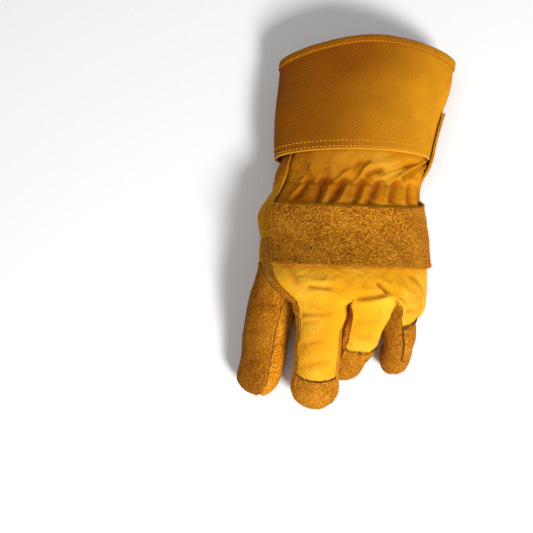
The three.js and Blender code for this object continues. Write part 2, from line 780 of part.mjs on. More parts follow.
const palmWall = solidOf(palmSheet.wall(leatherWall, { skin: fullSkin, gap: seamGap }));
const cuffRoom = roomOf(cuff(), cuffWall, cuff());
const backRoom = roomOf(backSheet, cottonWall, fullSkin);
const gussetRoom = roomOf(gussetSheet, cottonWall, fullSkin);
const palmRoom = roomOf(palmSheet, leatherWall, fullSkin);
const palmNeighbours = [backRoom, gussetRoom, cuffRoom, thumbHollow];
addMesh('palm', geometryFrom(cleared(palmWall, palmNeighbours)), colours.leather);
addMesh('palm_patch', geometryFrom(cleared(solidOf(palmPatch()), [thumbOutside])), colours.patch);

const rooms = [backRoom, palmRoom];
for (const { name, front, cap } of fingerSheets) {
  const skin = joined([...handSheets, front, cap]);
  const frontRoom = roomOf(front, leatherWall, skin);
  const frontWall = solidOf(front.wall(leatherWall, { skin, inset: seamGap, gap: seamGap }));
  const capWall = solidOf(cap.wall(leatherWall, { skin, gap: seamGap }));
  addMesh(`${name}_front`, geometryFrom(cleared(frontWall, rooms)), colours.leather);
  addMesh(`${name}_cap`, geometryFrom(cleared(capWall, rooms)), colours.leather);
  rooms.push(frontRoom);
}

const hand = handSolid();
const thumbSheets = {
  thumb_back: thumbPanel(thumb, 0, thumbBackColumns),
  thumb_front: thumbPanel(thumb, thumbBackColumns, thumbColumns),
};
const thumbSkin = joined(Object.values(thumbSheets));
for (const [name, sheet] of Object.entries(thumbSheets)) {
  const wall = solidOf(sheet.wall(leatherWall, { skin: thumbSkin, gap: seamGap }));
  addMesh(name, geometryFrom(cleared(wall, [hand])), colours.leather);
}

const box = new THREE.Box3().setFromObject(group);
const middle = box.getCenter(new THREE.Vector3());
group.position.set(-middle.x, -middle.y, -box.min.z);
group.updateMatrixWorld(true);

export default group;
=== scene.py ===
import json
import math

import bmesh
import bpy
import numpy as np
from mathutils import Matrix, Vector, noise
from mathutils.bvhtree import BVHTree
from mathutils.kdtree import KDTree


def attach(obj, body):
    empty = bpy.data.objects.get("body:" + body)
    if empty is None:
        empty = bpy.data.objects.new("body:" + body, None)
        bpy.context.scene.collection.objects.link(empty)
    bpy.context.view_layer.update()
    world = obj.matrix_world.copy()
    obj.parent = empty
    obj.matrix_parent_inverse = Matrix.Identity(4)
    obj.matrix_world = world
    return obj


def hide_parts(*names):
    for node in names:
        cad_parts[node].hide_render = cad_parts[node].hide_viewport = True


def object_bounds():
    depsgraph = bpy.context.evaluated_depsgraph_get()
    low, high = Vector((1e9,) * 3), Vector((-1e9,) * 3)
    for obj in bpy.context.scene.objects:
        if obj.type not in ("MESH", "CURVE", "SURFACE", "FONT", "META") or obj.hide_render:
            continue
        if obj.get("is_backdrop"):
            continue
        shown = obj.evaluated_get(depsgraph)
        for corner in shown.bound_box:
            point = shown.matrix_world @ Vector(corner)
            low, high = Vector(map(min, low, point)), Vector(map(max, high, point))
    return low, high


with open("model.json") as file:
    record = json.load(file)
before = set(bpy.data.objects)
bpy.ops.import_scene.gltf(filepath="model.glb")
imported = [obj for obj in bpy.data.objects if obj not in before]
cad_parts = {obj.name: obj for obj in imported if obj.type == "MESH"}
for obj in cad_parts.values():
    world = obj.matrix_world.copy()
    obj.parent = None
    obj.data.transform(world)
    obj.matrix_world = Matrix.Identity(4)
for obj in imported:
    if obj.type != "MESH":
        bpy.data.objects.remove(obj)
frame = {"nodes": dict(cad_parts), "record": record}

mm = 0.001
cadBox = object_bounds()

# The hollows of the hand and the fingers, from the frame: name and two corners
openings = frame["record"]["physics"]["openings"]
hollows = [(opening["name"], *np.array(opening["box_m"])) for opening in openings]

colours = {
    "cotton": (0.84, 0.380, 0.009),
    "cottonDeep": (0.38, 0.110, 0.0012),
    "cottonPale": (0.90, 0.480, 0.030),
    "canvas": (0.66, 0.285, 0.008),
    "canvasDeep": (0.28, 0.085, 0.001),
    "suede": (0.60, 0.195, 0.004),
    "suedeDeep": (0.29, 0.078, 0.001),
    "suedePale": (0.98, 0.430, 0.030),
    "clothShade": (0.42, 0.29, 0.13),     # what the parts in painted shade, turned away from the light, are multiplied by
    "suedeShade": (0.48, 0.40, 0.25),
    # colour painted along the seams: painted groove shade, and the dark of the cap joints
    "seam": (0.075, 0.026, 0.002),
    "thread": (0.66, 0.30, 0.018),
    # colour of the dark seam cords, which stand for the thread and the painted shade of the seam grooves
    "darkThreadAndShade": (0.085, 0.034, 0.006),
    "greyThread": (0.40, 0.33, 0.20),
    "floor": (0.80, 0.80, 0.80),
}


class Wire:
    # one output of a node, written in sums and products as a number is
    def __init__(self, finish, socket):
        self.finish = finish
        self.socket = socket

    def math(self, operation, *values):
        return self.finish.add("ShaderNodeMath", dict(enumerate(values)), operation=operation)

    def __add__(self, other):
        return self.math("ADD", self, other)

    def __sub__(self, other):
        return self.math("SUBTRACT", self, other)

    def __rsub__(self, other):
        return self.math("SUBTRACT", other, self)

    def __mul__(self, other):
        return self.math("MULTIPLY", self, other)

    __radd__ = __add__
    __rmul__ = __mul__

    def sine(self):
        return self.math("SINE", self)


class Finish:
    # a material, and the nodes that make it
    def __init__(self, name, **constants):
        self.material = bpy.data.materials.new(name)
        self.material.use_nodes = True
        self.tree = self.material.node_tree
        self.shader = self.tree.nodes["Principled BSDF"]
        self.set(**constants)
        self.place = self.add("ShaderNodeTexCoord", out="Object")

    def put(self, socket, value):
        # links a wire, or sets a plain value
        if isinstance(value, Wire):
            self.tree.links.new(value.socket, socket)
        else:
            socket.default_value = value

    def add(self, kind, sockets=None, out=0, stops=None, **settings):
        node = self.tree.nodes.new(kind)
        for name, value in settings.items():
            setattr(node, name, value)
        if stops:
            ramp = node.color_ramp.elements
            while len(ramp) < len(stops):
                ramp.new(0.5)
            for element, (position, colour) in zip(ramp, stops):
                element.position = position
                element.color = (*colour, 1)
        for name, value in (sockets or {}).items():
            self.put(node.inputs[name], value)
        return Wire(self, node.outputs[out])

    def set(self, **sockets):
        for name, value in sockets.items():
            self.put(self.shader.inputs[name.replace("_", " ")], value)

    def noise(self, scale, detail, roughness=0.5, distortion=0.0, where=None):
        sockets = {"Vector": where or self.place, "Scale": scale, "Detail": detail,
                   "Roughness": roughness, "Distortion": distortion}
        return self.add("ShaderNodeTexNoise", sockets)

    def stretch(self, scale, turn):
        # the place turned, then drawn out by scale along its new axes
        sockets = {"Vector": self.place, "Scale": scale, "Rotation": turn}
        return self.add("ShaderNodeMapping", sockets, vector_type="TEXTURE")

    def dot(self, direction):
        sockets = {0: self.place, 1: direction}
        return self.add("ShaderNodeVectorMath", sockets, out="Value", operation="DOT_PRODUCT")

    def ease(self, value, low, high):
        # from 0 at low to 1 at high
        sockets = {"Value": value, "From Min": low, "From Max": high}
        return self.add("ShaderNodeMapRange", sockets, interpolation_type="SMOOTHSTEP")

    def blend(self, factor, first, second, how="MIX"):
        first, second = [(*c, 1) if isinstance(c, tuple) and len(c) == 3 else c for c in (first, second)]
        sockets = {"Factor": factor, 6: first, 7: second}
        return self.add("ShaderNodeMix", sockets, out=2, data_type="RGBA", blend_type=how)

    def measure(self, name):
        # a value that softPanel wrote on the mesh
        return self.add("ShaderNodeAttribute", out="Fac", attribute_name=name)

    def bump(self, height, depth, strength, under=None):
        sockets = {"Height": height, "Distance": depth, "Strength": strength}
        if under:
            sockets["Normal"] = under
        return self.add("ShaderNodeBump", sockets)


# Twill: slanting ribs, cut into short floats by the yarns that cross them
cloth = {
    "yarnPitch": 0.62,    # share of the pitch of the ribs
    "yarnDepth": 0.28,    # how deep the crossing yarns cut into a rib
    "wander": 1.1,        # how far the ribs stray, where a whole rib is 6.28
    "ribHeight": 0.18,    # mm
    "lint": 0.3,          # share of the fine height that is lint instead of weave
}


def twill(finish, pitch, along, across):
    wander = finish.noise(420, 1) * cloth["wander"]
    rib = (finish.dot(along) * (math.tau / pitch) + wander).sine() * 0.5 + 0.5
    yarn = (finish.dot(across) * (math.tau / (cloth["yarnPitch"] * pitch)) + wander).sine() * 0.5 + 0.5
    return rib * (1 - cloth["yarnDepth"]) + rib * yarn * cloth["yarnDepth"]


def clothFinish(name, tones, pitch, ribDark, blotches, creases, edge,
                along=(0.74, 0.62, -0.26), across=(-0.60, 0.76, 0.24)):
    # pitch of the ribs and depth of the creases in mm; edge is the colour beside seams: painted shade by the
    # cotton's seams, a painted highlight on the canvas's folded rims, darker tape edges
    base, deep, pale = tones
    finish = Finish(name, Roughness=0.88, Specular_IOR_Level=0.08)
    weave = twill(finish, pitch * mm, along, across)
    cloudy = finish.noise(34, 3, 0.55)
    patchy = finish.noise(150, 3, 0.6)
    seam = finish.measure("seam")
    valley = finish.measure("valley")
    colour = finish.blend(finish.ease(cloudy, 0.40, 0.64), base, pale)
    colour = finish.blend(finish.ease(patchy, 0.48, 0.74) * blotches, colour, deep)
    colour = finish.blend((1 - weave) * ribDark, colour, deep)
    # painted shade in the hollows of the folds
    colour = finish.blend(valley, colour, deep)
    # painted shade, where the panel's shade mask says less light reaches
    colour = finish.blend(finish.measure("shade"), colour, colours["clothShade"], "MULTIPLY")
    # painted shade or painted highlight beside the seams, in the edge colour
    colour = finish.blend(finish.ease(seam, 1.0, 0.1) * 0.45, colour, edge)
    # painted shade along the seam grooves, with the dark of the cap joints
    colour = finish.blend(finish.measure("seamDarkAndShade"), colour, colours["seam"])
    wrinkle = finish.noise(95, 3, 0.5, 1.4)
    lint = finish.noise(2600, 2)
    soft = finish.bump(wrinkle, creases * mm, 0.9)
    threads = weave * (1 - cloth["lint"]) + lint * cloth["lint"]
    fine = finish.bump(threads, cloth["ribHeight"] * mm, 0.8, under=soft)
    finish.set(Base_Color=colour, Roughness=0.92 - weave * 0.1, Normal=fine)
    return finish.material


# Suede: short wormy strands of nap that catch the light, with dark pits between them; their light and shade
# are partly painted into the colour and partly made by the bump
leather = {
    "strands": 2300,      # scales of the noises
    "crossStrands": 2100,
    "tufts": 420,
    "rubbed": 40,
    "napHeight": 1.1,     # mm
}


def suedeFinish(name, lightness, fineness, contrast, rimHighlight=0.45):
    finish = Finish(name, Roughness=0.95, Specular_IOR_Level=0.08)
    leaning = finish.stretch((3.4, 1.0, 1.3), (0.1, 0.1, 0.62))
    crossing = finish.stretch((3.0, 1.0, 1.2), (-0.1, 0.2, -0.25))
    strands = finish.noise(leather["strands"] * fineness, 1, 0.5, 0.8, where=leaning)
    others = finish.noise(leather["crossStrands"] * fineness, 1, 0.5, 1.0, where=crossing)
    tufts = finish.noise(leather["tufts"] * fineness, 3, 0.6, 0.6)
    rubbed = finish.noise(leather["rubbed"], 3, 0.55)
    seam = finish.measure("seam")
    valley = finish.measure("valley")
    nap = strands * 0.62 + others * 0.38
    keys = ("suedeDeep", "suede", "suedePale")
    deep, base, pale = [tuple(lightness * c for c in colours[key]) for key in keys]
    spread = 0.11 / contrast
    stops = [(0.5 - spread, deep), (0.5 - 0.1 * spread, base),
             (0.5 + 0.3 * spread, base), (0.5 + 1.15 * spread, pale)]
    shift = (tufts - 0.5) * 0.10 + (rubbed - 0.5) * 0.10
    # the nap's colour, with painted highlights on the strands and painted shade in the pits
    grain = finish.add("ShaderNodeValToRGB", {0: nap + shift}, stops=stops)
    colour = finish.blend(finish.ease(rubbed, 0.42, 0.70) * 0.18, grain, pale)
    # painted shade in the hollows of the folds
    colour = finish.blend(valley, colour, deep)
    # painted highlight along the rims and welt lips
    colour = finish.blend(finish.ease(seam, 1.8, 0.2) * rimHighlight, colour, pale)
    # painted shade, where the panel's shade mask says less light reaches
    colour = finish.blend(finish.measure("shade"), colour, colours["suedeShade"], "MULTIPLY")
    # painted shade along the seam grooves, with the dark of the cap joints
    colour = finish.blend(finish.measure("seamDarkAndShade"), colour, colours["seam"])
    height = finish.bump(nap + tufts * 0.25, leather["napHeight"] * mm, 1.0)
    finish.set(Base_Color=colour, Normal=height)
    return finish.material


def threadFinish(name, colour):
    finish = Finish(name, Roughness=0.9, Specular_IOR_Level=0.12)
    tone = finish.noise(1500, 2)
    shade = finish.blend(finish.ease(tone, 0.35, 0.7) * 0.45, colour, tuple(0.45 * c for c in colour))
    finish.set(Base_Color=shade, Normal=finish.bump(tone, 0.1 * mm, 0.5))
    return finish.material


def tones(name, lightness=1.0):
    # a cloth's own colour, a deep one for the painted shade in its hollows and its darker patches, and that
    # of its worn parts
    base, deep = colours[name], colours[name + "Deep"]
    pale = colours.get(name + "Pale") or tuple(1.18 * c for c in base)
    return [tuple(min(lightness * c, 1) for c in tone) for tone in (base, deep, pale)]


finishes = {
    "cotton": clothFinish("golden cotton twill", tones("cotton"), pitch=1.25, ribDark=0.42, blotches=0.22,
                          creases=1.3, edge=colours["cottonDeep"]),
    "canvas": clothFinish("starched cuff canvas", tones("canvas"), pitch=1.55, ribDark=0.75, blotches=0.10,
                          creases=0.3, edge=colours["cottonPale"],
                          along=(0.42, 0.90, -0.1), across=(-0.88, 0.42, 0.2)),
    "tape": clothFinish("binding tape", tones("canvas", 0.95), pitch=0.9, ribDark=0.4, blotches=0.25,
                        creases=0.5, edge=colours["canvasDeep"]),
    "strapSuede": suedeFinish("strap suede", lightness=0.76, fineness=0.66, contrast=2.0, rimHighlight=0.05),
    "suede": suedeFinish("split leather", lightness=0.66, fineness=0.80, contrast=1.2),
    # a paler copy of the split leather, painted lit, for the parts that catch the light
    "suedePaintedLit": suedeFinish("split leather painted lit", lightness=0.86, fineness=0.80, contrast=1.2),
    "patchSuede": suedeFinish("smoother patch leather", lightness=1.1, fineness=1.1, contrast=0.6),
    "fibres": threadFinish("loose suede fibres", tuple(0.75 * c for c in colours["suedePale"])),
    "thread": threadFinish("golden thread", colours["thread"]),
    "darkThreadAndShade": threadFinish("dark seam thread and groove shade", colours["darkThreadAndShade"]),
    "greyThread": threadFinish("undyed thread", colours["greyThread"]),
    "floor": Finish("pale floor", Roughness=0.9, Base_Color=(*colours["floor"], 1)).material,
}
print("finishes made")


def meshObject(name, bm, finish):
    mesh = bpy.data.meshes.new(name)
    bm.to_mesh(mesh)
    bm.free()
    mesh.materials.append(finishes[finish])
    piece = bpy.data.objects.new(name, mesh)
    bpy.context.scene.collection.objects.link(piece)
    return piece


def applied(piece):
    # makes the piece's modifiers part of its mesh
    graph = bpy.context.evaluated_depsgraph_get()
    mesh = bpy.data.meshes.new_from_object(piece.evaluated_get(graph), preserve_all_data_layers=True,
                                           depsgraph=graph)
    old = piece.data
    piece.modifiers.clear()
    piece.data = mesh
    bpy.data.meshes.remove(old)


def towardsHollow(node, points):
    # for each point, the unit vector to it from the nearest hollow of the hand or of its own finger
    own = [hollow for hollow in hollows if hollow[0].split("_")[0] == node.split("_")[0]]
    best = np.full(len(points), 1e9)
    away = np.zeros_like(points)
    for _, lo, hi in own or hollows:
        reach = points - np.clip(points, lo, hi)
        distance = np.linalg.norm(reach, axis=1)
        nearer = distance < best
        best[nearer] = distance[nearer]
        away[nearer] = reach[nearer]
    return away / np.maximum(np.linalg.norm(away, axis=1), 1e-9)[:, None]


def treeOf(points):
    tree = KDTree(len(points))
    for i, point in enumerate(points.tolist()):
        tree.insert(point, i)
    tree.balance()
    return tree


def distanceTo(tree, points):
    return np.array([tree.find(point)[2] for point in points.tolist()])


def smoothStep(low, high, value):
    t = np.clip((value - low) / (high - low), 0, 1)
    return t * t * (3 - 2 * t)


def distanceToPath(points, path):
    # seen from above: how far each point is from a path, how far along it that is, from 0 to 1, and its side
    flat = points[:, :2]
    knots = np.array(path) * mm
    lengths = np.linalg.norm(np.diff(knots, axis=0), axis=1)
    best = np.full(len(points), 1e9)
    share = np.zeros(len(points))
    side = np.zeros(len(points))
    done = 0.0
    for a, b, length in zip(knots[:-1], knots[1:], lengths):
        t = np.clip(((flat - a) @ (b - a)) / length ** 2, 0, 1)
        foot = a + t[:, None] * (b - a)
        away = flat - foot
        distance = np.linalg.norm(away, axis=1)
        turn = np.sign((b - a)[0] * away[:, 1] - (b - a)[1] * away[:, 0])
        nearer = distance < best
        best[nearer] = distance[nearer]
        share[nearer] = ((done + t * length) / lengths.sum())[nearer]
        side[nearer] = turn[nearer]
        done += length
    return best, share, side


def foldHeight(points, folds):
    # each fold: path in mm, height in mm (down is negative), half width in mm, how much steeper its right
    # side is, and how sharp its crest is (2 is round, 1 is a crease)
    faint = 0.12   # share of its height that a fold has at its ends
    height = np.zeros(len(points))
    for path, tall, wide, lean, crest in folds:
        distance, share, side = distanceToPath(points, path)
        width = wide * mm * (1 + lean * side)
        inside = (share > 0) & (share < 1)
        ends = smoothStep(0, 0.2, share) * smoothStep(1, 0.72, share)
        strength = np.where(inside, faint + (1 - faint) * ends, faint)
        height += tall * mm * np.exp(-(distance / width) ** crest) * strength
    return height


def noiseOf(points, size, seed):
    offset = Vector((seed, 1.7 * seed, -seed))
    return np.array([noise.noise(Vector(p) / size + offset) for p in points.tolist()])


# Gentle pushes of the glove's skin: middle, reach and move in mm, and the panel if it is only one
nudges = [
    ((44.0, -100.0, 24.0), 9.0, (-4.2, 1.5, 0.0)),      # ring fingertip, little-finger side
    ((11.0, -108.0, 28.0), 8.0, (-3.6, 2.8, 0.0)),      # corner of the middle fingertip
    ((-82.0, -112.0, 16.0), 9.0, (-2.2, -1.5, 0.0)),    # outer corner of the thumb tip
    ((-62.0, -125.0, 16.0), 9.0, (-2.0, -1.2, 0.0)),    # inner corner of the thumb tip
    ((-67.5, -127.5, 16.0), 4.5, (0.0, 2.0, 0.0)),
    ((-66.0, 2.0, 28.0), 13.0, (-3.8, 0.0, 0.0)),       # belly of the gusset
    ((-62.0, -28.0, 34.0), 14.0, (-4.0, 0.0, 0.0)),     # root of the thumb
    ((-8.0, -68.5, 70.0), 4.5, (-4.2, 1.6, 0.0)),       # rounded tops of the gaps between the fingers
    ((-2.5, -70.0, 69.0), 4.5, (1.2, 0.6, 0.0)),
    ((18.5, -68.5, 64.0), 5.5, (-3.4, 1.0, 0.0)),
    ((27.5, -68.5, 59.5), 5.5, (3.2, 1.4, 0.0)),
    ((-43.0, 31.0, 44.0), 9.0, (4.6, 0.0, 0.0)),        # seam of the gusset, where it bows out
    ((-58.0, 13.0, 48.0), 8.0, (2.6, 0.0, 0.0)),        # upper end of the strap
    ((52.0, 46.0, 34.0), 9.0, (7.5, 0.0, 1.0), "back_panel"),
    ((80.0, 100.0, 30.0), 15.0, (2.2, 0.0, 0.0), "cuff"),
    ((-28.0, 51.0, 47.0), 11.0, (0.0, 0.0, 1.8), "back_panel"),   # up to the inside of the hem
    ((-5.0, 51.0, 48.0), 14.0, (0.0, 0.0, 2.2), "back_panel"),
    ((20.0, 51.0, 47.0), 11.0, (0.0, 0.0, 1.8), "back_panel"),
    ((-43.0, -128.0, 30.0), 8.0, (-2.2, 0.0, 0.0)),     # shoulders of the index cap
    ((-14.0, -128.0, 30.0), 8.0, (0.8, 0.0, 0.0)),
]


def nudged(points, node):
    moved = points.copy()
    for middle, reach, move, *only in nudges:
        if only and node not in only:
            continue
        distance = np.linalg.norm(points - np.array(middle) * mm, axis=1) / (reach * mm)
        moved += np.exp(-distance ** 2)[:, None] * np.array(move) * mm
    return moved


# Soft panels: a copy of the node, smoothed, then pushed about along its outward side
softPanels = {
    "levels": 3,
    "joinAngles": (50, 65),   # degrees, up to which two triangles become one face
    "sharpAngle": 48,     # degrees between two faces, past which their edge is a rim
    "gatherPasses": 10,   # how often the gathers are smoothed
    "seamReach": 2.6,     # mm from a seam that a panel starts to turn in
    "seamDepth": 0.75,
    "stiffReach": 0.9,    # mm from a seam where lumps rise straight up from the hand
    "lipPlace": 1.3,      # mm from a seam where a welt is highest
    "lipReach": 0.9,
    "meet": 0.34,         # mm that each rim spreads, so that panels meet
    "meetReach": 0.5,
    # the painted crease shade is darkest at this depth of fold
    "creaseShadeDepth": 2.2,   # mm of fold that take the deepest colour
    "grainSize": 1.7,
}
softData = {}   # points, normals and distances from the seams of each finished panel


def creaseRims(bm, crease, node, sharpAngle, gathers):
    # marks the edges where the cloth ends, so that smoothing leaves them sharp; gathers is the part of the
    # panel where creases are folds, as two corners in mm, seen from above
    bm.faces.index_update()
    centres = np.array([face.calc_center_median() for face in bm.faces])
    facing = np.sum(np.array([face.normal for face in bm.faces]) * towardsHollow(node, centres), axis=1)
    for edge in bm.edges:
        if len(edge.link_faces) == 2 and edge.calc_face_angle(0) > math.radians(sharpAngle):
            one, other = (facing[face.index] for face in edge.link_faces)
            x, y, _ = edge.verts[0].co
            gathered = gathers and gathers[0][1] * mm < y < gathers[1][1] * mm
            if gathered and gathers[0][0] * mm < x < gathers[1][0] * mm:
                continue
            if not gathered or (min(one, other) < 0.4 and max(one, other) > -0.4):
                edge[crease] = 1.0


def smoothGathers(bm, crease, gathers):
    lo, hi = gathers[0][1] * mm, gathers[1][1] * mm
    for _ in range(4):   # at the thumb side, short creases with an open end are folds too
        loose = [edge for edge in bm.edges if edge[crease] > 0 and edge.verts[0].co.x < 0
                 and lo < edge.verts[0].co.y < hi
                 and any(sum(e[crease] > 0 for e in vert.link_edges) < 2 for vert in edge.verts)]
        for edge in loose:
            edge[crease] = 0
    rim = {vert for edge in bm.edges if edge[crease] > 0 for vert in edge.verts}
    soft = [vert for vert in bm.verts if lo < vert.co.y < hi and vert not in rim]
    for _ in range(softPanels["gatherPasses"]):
        bmesh.ops.smooth_vert(bm, verts=soft, factor=0.5, use_axis_x=True, use_axis_y=True, use_axis_z=True)


def softPanel(node, finish, folds=(), lumps=0.35, lumpSize=9.0, grain=0.12, levels=softPanels["levels"],
              gathers=None, sharpAngle=softPanels["sharpAngle"], seamDepth=softPanels["seamDepth"], lip=0.0,
              shadeOf=None, meet=softPanels["meet"]):
    # lumps are the swells of the padding, grain the fine unevenness and lip the height of a welt, in mm;
    # shadeOf gives how much painted shade darkens the panel at each point
    bm = bmesh.new()
    bm.from_mesh(frame["nodes"][node].data)
    bmesh.ops.remove_doubles(bm, verts=bm.verts, dist=0.01 * mm)
    faceAngle, shapeAngle = (math.radians(angle) for angle in softPanels["joinAngles"])
    bmesh.ops.join_triangles(bm, faces=bm.faces, angle_face_threshold=faceAngle,
                             angle_shape_threshold=shapeAngle)
    crease = bm.edges.layers.float.new("crease_edge")
    creaseRims(bm, crease, node, sharpAngle, gathers)
    if gathers:
        smoothGathers(bm, crease, gathers)
    piece = meshObject(node + "_soft", bm, finish)
    smooth = piece.modifiers.new("Smooth", "SUBSURF")
    smooth.levels = smooth.render_levels = levels
    applied(piece)

    mesh = piece.data
    count = len(mesh.vertices)
    points = np.empty(count * 3)
    mesh.vertices.foreach_get("co", points)
    points = points.reshape(-1, 3)
    normals = np.array([v.vector for v in mesh.vertex_normals])
    away = towardsHollow(node, points)
    outer = smoothStep(0.15, 0.6, np.sum(normals * away, axis=1))

    creased = mesh.attributes.get("crease_edge")
    rim = set()
    if creased:
        for edge, mark in zip(mesh.edges, creased.data):
            if mark.value > 0.5:
                rim.update(edge.vertices)
    seam = distanceTo(treeOf(points[sorted(rim)]), points) / mm if rim else np.full(count, 20.0)

    s = softPanels
    folded = foldHeight(points, folds)
    swell = lumps * mm * noiseOf(points, lumpSize * mm, 3.1)
    height = folded + swell + grain * mm * noiseOf(points, s["grainSize"] * mm, 7.7)
    flatness = (1 - np.exp(-(seam / s["stiffReach"]) ** 2))[:, None]
    push = normals * flatness + away * (1 - flatness)
    points += push * (height * outer)[:, None]
    pull = seamDepth * np.exp(-(seam / s["seamReach"]) ** 2)
    pull -= lip * np.exp(-((seam - s["lipPlace"]) / s["lipReach"]) ** 2)
    points -= away * (pull * mm * outer)[:, None]
    sideways = normals - away * np.sum(normals * away, axis=1)[:, None]
    sideways /= np.maximum(np.linalg.norm(sideways, axis=1), 0.2)[:, None]
    points += sideways * (meet * mm * np.exp(-(seam / s["meetReach"]) ** 2) * outer)[:, None]
    points = nudged(points, node)
    points[:, 2] = np.maximum(points[:, 2], 0.02 * mm)   # the glove lies on the floor
    mesh.vertices.foreach_set("co", points.ravel())
    mesh.update()

    x, y = points[:, 0] / mm, points[:, 1] / mm
    measures = {
        "seam": seam,
        # painted shade in the hollows of the folds, darkest where they are deepest
        "valley": np.clip(-folded / (s["creaseShadeDepth"] * mm), 0, 0.85),
        # painted shade, from the panel's shadeOf
        "shade": np.clip(shadeOf(x, y), 0, 1) if shadeOf else np.zeros(count),
        "seamDarkAndShade": np.zeros(count),
    }
    for name, values in measures.items():
        layer = mesh.attributes.new(name, "FLOAT", "POINT")
        layer.data.foreach_set("value", values.astype(np.float32))
    if creased:
        mesh.attributes.remove(mesh.attributes["crease_edge"])
    mesh.shade_smooth()
    normals = np.array([v.vector for v in mesh.vertex_normals])
    softData[node] = {"points": points, "normals": normals, "outer": outer, "seam": seam, "piece": piece}
    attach(piece, "root")
    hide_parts(node)
    return piece


